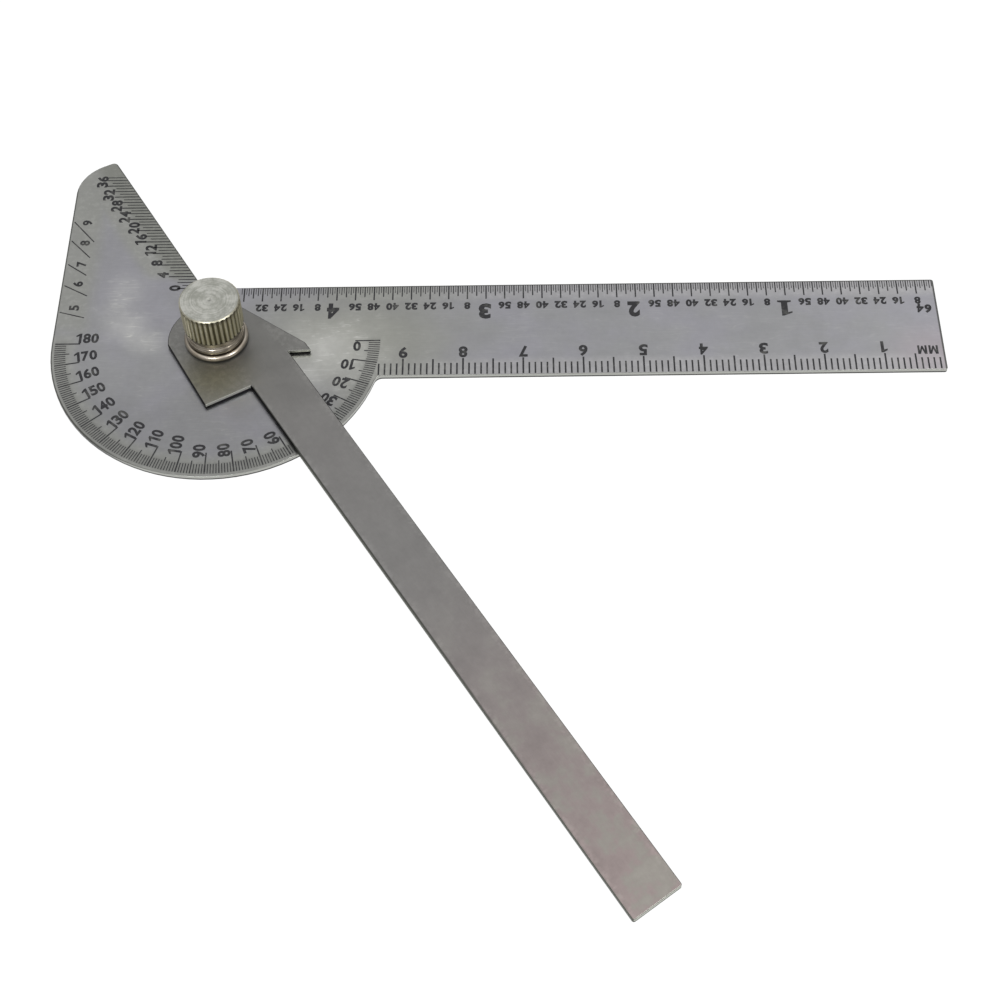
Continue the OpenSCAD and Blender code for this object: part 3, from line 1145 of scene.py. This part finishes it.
def tickSizes(scale):
    sizes = {"Count": scale["count"], "First": scale["first"]}
    sizes["Length"], sizes["Width"] = (size * mm for size in scale["tiers"][0][1:])
    for tier, (every, length, width) in zip(tierNames, scale["tiers"][1:]):
        sizes[tier + " every"] = float(every)
        sizes[tier + " length"] = length * mm
        sizes[tier + " width"] = width * mm
    return sizes


rowTool = makeRowTool()
for name, scale in scaleRows.items():
    sizes = tickSizes(scale)
    sizes["Start"] = Vector((*scale["start"], etchMiddle)) * mm
    sizes["Step"] = Vector((*scale["step"], 0)) * mm
    sizes["Turn"] = math.radians(scale["turn"])
    addPiece(name, rowTool.applied(bpy.data.meshes.new(name), sizes), "plate", etchInk)

sizes = tickSizes(arcScale)
sizes["Radius"] = arcScale["radius"] * mm
sizes["Pitch"] = math.radians(arcScale["pitch"])
sizes["Height"] = etchMiddle * mm
degreeTicks = makeArcTool().applied(bpy.data.meshes.new("degreeTicks"), sizes)
addPiece("degreeTicks", degreeTicks, "plate", etchInk)


# Numerals: the built-in font's digits, with the ones and the M drawn here

oneOutline = [
    (0.26, 0), (0.26, 0.52), (0.10, 0.45), (0.10, 0.56), (0.30, 0.70), (0.41, 0.70), (0.41, 0),
]
oneWidth = 0.43  # a one is this wide in the font's units, so that it stays narrow
emOutline = [
    (0, 0), (0, 0.70), (0.19, 0.70), (0.33, 0.30), (0.47, 0.70), (0.66, 0.70), (0.66, 0),
    (0.51, 0), (0.51, 0.42), (0.38, 0.04), (0.28, 0.04), (0.15, 0.42), (0.15, 0),
]
slabOneOutline = [
    (0.04, 0), (0.04, 0.07), (0.17, 0.10), (0.17, 0.53), (0.02, 0.49), (0.02, 0.56), (0.32, 0.69),
    (0.39, 0.69), (0.39, 0.10), (0.52, 0.07), (0.52, 0),
]
glyphs = {}


def drawnGlyph(outline):
    mesh = bpy.data.meshes.new("glyph")
    shape = bmesh.new()
    face = shape.faces.new([shape.verts.new((u, v, -0.5)) for u, v in outline])
    lifted = bmesh.ops.extrude_face_region(shape, geom=[face])["geom"]
    corners = [item for item in lifted if isinstance(item, bmesh.types.BMVert)]
    bmesh.ops.translate(shape, verts=corners, vec=(0, 0, 1))
    bmesh.ops.recalc_face_normals(shape, faces=shape.faces)
    shape.to_mesh(mesh)
    return mesh


def fontGlyph(letter, bold):
    text = bpy.data.curves.new("glyph", "FONT")
    text.body = letter
    text.extrude = 0.5
    text.offset = bold
    text.resolution_u = 3
    holder = bpy.data.objects.new("glyph", text)
    bpy.context.scene.collection.objects.link(holder)
    graph = bpy.context.evaluated_depsgraph_get()
    mesh = bpy.data.meshes.new_from_object(holder.evaluated_get(graph))
    bpy.data.objects.remove(holder)
    shape = bmesh.new()
    shape.from_mesh(mesh)
    bmesh.ops.remove_doubles(shape, verts=shape.verts, dist=0.0001)
    shape.to_mesh(mesh)
    return mesh


def glyph(letter, bold, slab):
    key = (letter, bold, slab)
    if key not in glyphs:
        if letter == "1":
            glyphs[key] = drawnGlyph(slabOneOutline if slab else oneOutline)
        elif letter == "M":
            glyphs[key] = drawnGlyph(emOutline)
        else:
            glyphs[key] = fontGlyph(letter, bold)
    return glyphs[key]


def numeralMesh(name, labels, look):
    # labels: (text, x, y, turn), the centre of the text in millimetres
    mesh = bpy.data.meshes.new(name)
    shape = bmesh.new()
    for text, x, y, turn in labels:
        for step, letter in enumerate(text):
            source = glyph(letter, look["bold"], look.get("slab", False)).copy()
            xs = [v.co.x for v in source.vertices]
            ys = [v.co.y for v in source.vertices]
            wide = oneWidth if letter == "1" else max(xs) - min(xs)
            tall = max(ys) - min(ys)
            centre = Vector(((max(xs) + min(xs)) / 2, (max(ys) + min(ys)) / 2, 0))
            size = Matrix.Diagonal((
                look["width"] / wide * mm, look["height"] / tall * mm, etchDepth, 1))
            along = (step - (len(text) - 1) / 2) * look["pitch"]
            shift = Matrix.Translation(Vector((along, 0, 0)) * mm)
            place = Matrix.Translation(Vector((x, y, etchMiddle)) * mm)
            spin = Matrix.Rotation(math.radians(turn), 4, "Z")
            source.transform(place @ spin @ shift @ size @ Matrix.Translation(-centre))
            shape.from_mesh(source)
            bpy.data.meshes.remove(source)
    bmesh.ops.recalc_face_normals(shape, faces=shape.faces)
    shape.to_mesh(mesh)
    return mesh


def inchLabels(count, y):
    # At each eighth of an inch its sixty-fourths, but none at a whole inch
    return [(str(eighth % 8 * 8), ruleReach - eighth * inch / 8, y, 180)
            for eighth in range(1, count + 1) if eighth % 8]


def degreeLabels(radius, side, pitch):
    labels = []
    for degrees in range(0, 181, 10):
        text = str(degrees)
        turn = math.radians(-degrees)
        near = radius - (len(text) - 1) * pitch / 2
        x = near * math.cos(turn) - side * math.sin(turn)
        y = near * math.sin(turn) + side * math.cos(turn)
        labels.append((text, x, y, 180 - degrees))
    return labels


degreePitch = 1.36
numerals = {
    "millimetreNumerals": {
        "height": 2.4, "width": 1.5, "pitch": 1.6, "bold": 0.04,
        "labels": [(str(n), ruleReach - 10 * n, -2.7, 180) for n in range(1, 10)],
    },
    "unitMark": {
        "height": 1.85, "width": 1.55, "pitch": 1.85, "bold": 0.02,
        "labels": [("MM", 118.4, -3.4, 180)],
    },
    "inchNumerals": {
        "height": 1.6, "width": 1.06, "pitch": 1.1, "bold": 0.055,
        "labels": inchLabels(36, 7.45),
    },
    "sixtyFourthMark": {
        "height": 1.95, "width": 1.2, "pitch": 1.3, "bold": 0.055,
        "labels": [("64", 118.9, 5.6, 174)],
    },
    "wholeInchNumerals": {
        "height": 3.4, "width": 2.1, "pitch": 2.2, "bold": 0.055, "slab": True,
        "labels": [
            ("1", 95.5, 6.06, 180), ("2", 70.0, 6.25, 180), ("3", 44.8, 6.2, 180),
            ("4", 19.05, 6.6, 180),
        ],
    },
    "degreeNumerals": {
        "height": 2.12, "width": 1.3, "pitch": degreePitch, "bold": 0.04,
        "labels": degreeLabels(23.45, -1.2, degreePitch),
    },
    "lipNumerals": {
        "height": 2.0, "width": 1.32, "pitch": 1.42, "bold": 0.045,
        "labels": [
            ("0", -8.3, 12.2, 90), ("4", -10.65, 15.2, 90), ("8", -11.96, 18.0, 90),
            ("12", -13.3, 20.9, 90), ("16", -15.3, 23.5, 90), ("20", -16.8, 26.35, 90),
            ("24", -18.7, 29.0, 90), ("28", -20.4, 31.7, 90), ("32", -22.1, 34.4, 90),
            ("36", -23.55, 37.65, 90),
        ],
    },
    "dividerNumerals": {
        "height": 1.75, "width": 1.2, "pitch": 1.2, "bold": 0.04,
        "labels": [
            ("5", -25.1, 8.0, 90), ("6", -25.1, 13.4, 90), ("7", -25.0, 18.0, 90),
            ("8", -25.0, 22.9, 90), ("9", -25.1, 27.7, 90),
        ],
    },
}
for name, look in numerals.items():
    addPiece(name, numeralMesh(name, look["labels"], look), "plate", etchInk)

dividerLines = {
    "width": 0.22,
    "ends": [
        ((-27.44, 7.04), (-23.17, 5.77)), ((-27.38, 13.07), (-23.22, 10.66)),
        ((-27.35, 17.94), (-23.9, 15.37)), ((-27.4, 23.47), (-23.74, 19.44)),
        ((-27.42, 27.94), (-23.44, 23.12)),
    ],
}


def lineMesh(name, lines):
    mesh = bpy.data.meshes.new(name)
    shape = bmesh.new()
    for start, end in lines["ends"]:
        start, end = Vector(start), Vector(end)
        run = end - start
        made = bmesh.ops.create_cube(shape, size=1)["verts"]
        size = Matrix.Diagonal((run.length * mm, lines["width"] * mm, etchDepth, 1))
        spin = Matrix.Rotation(math.atan2(run.y, run.x), 4, "Z")
        middle = (start + end) / 2
        place = Matrix.Translation(Vector((*middle, etchMiddle)) * mm)
        bmesh.ops.transform(shape, matrix=place @ spin @ size, verts=made)
    shape.to_mesh(mesh)
    return mesh


addPiece("dividerLines", lineMesh("dividerLines", dividerLines), "plate", etchInk)
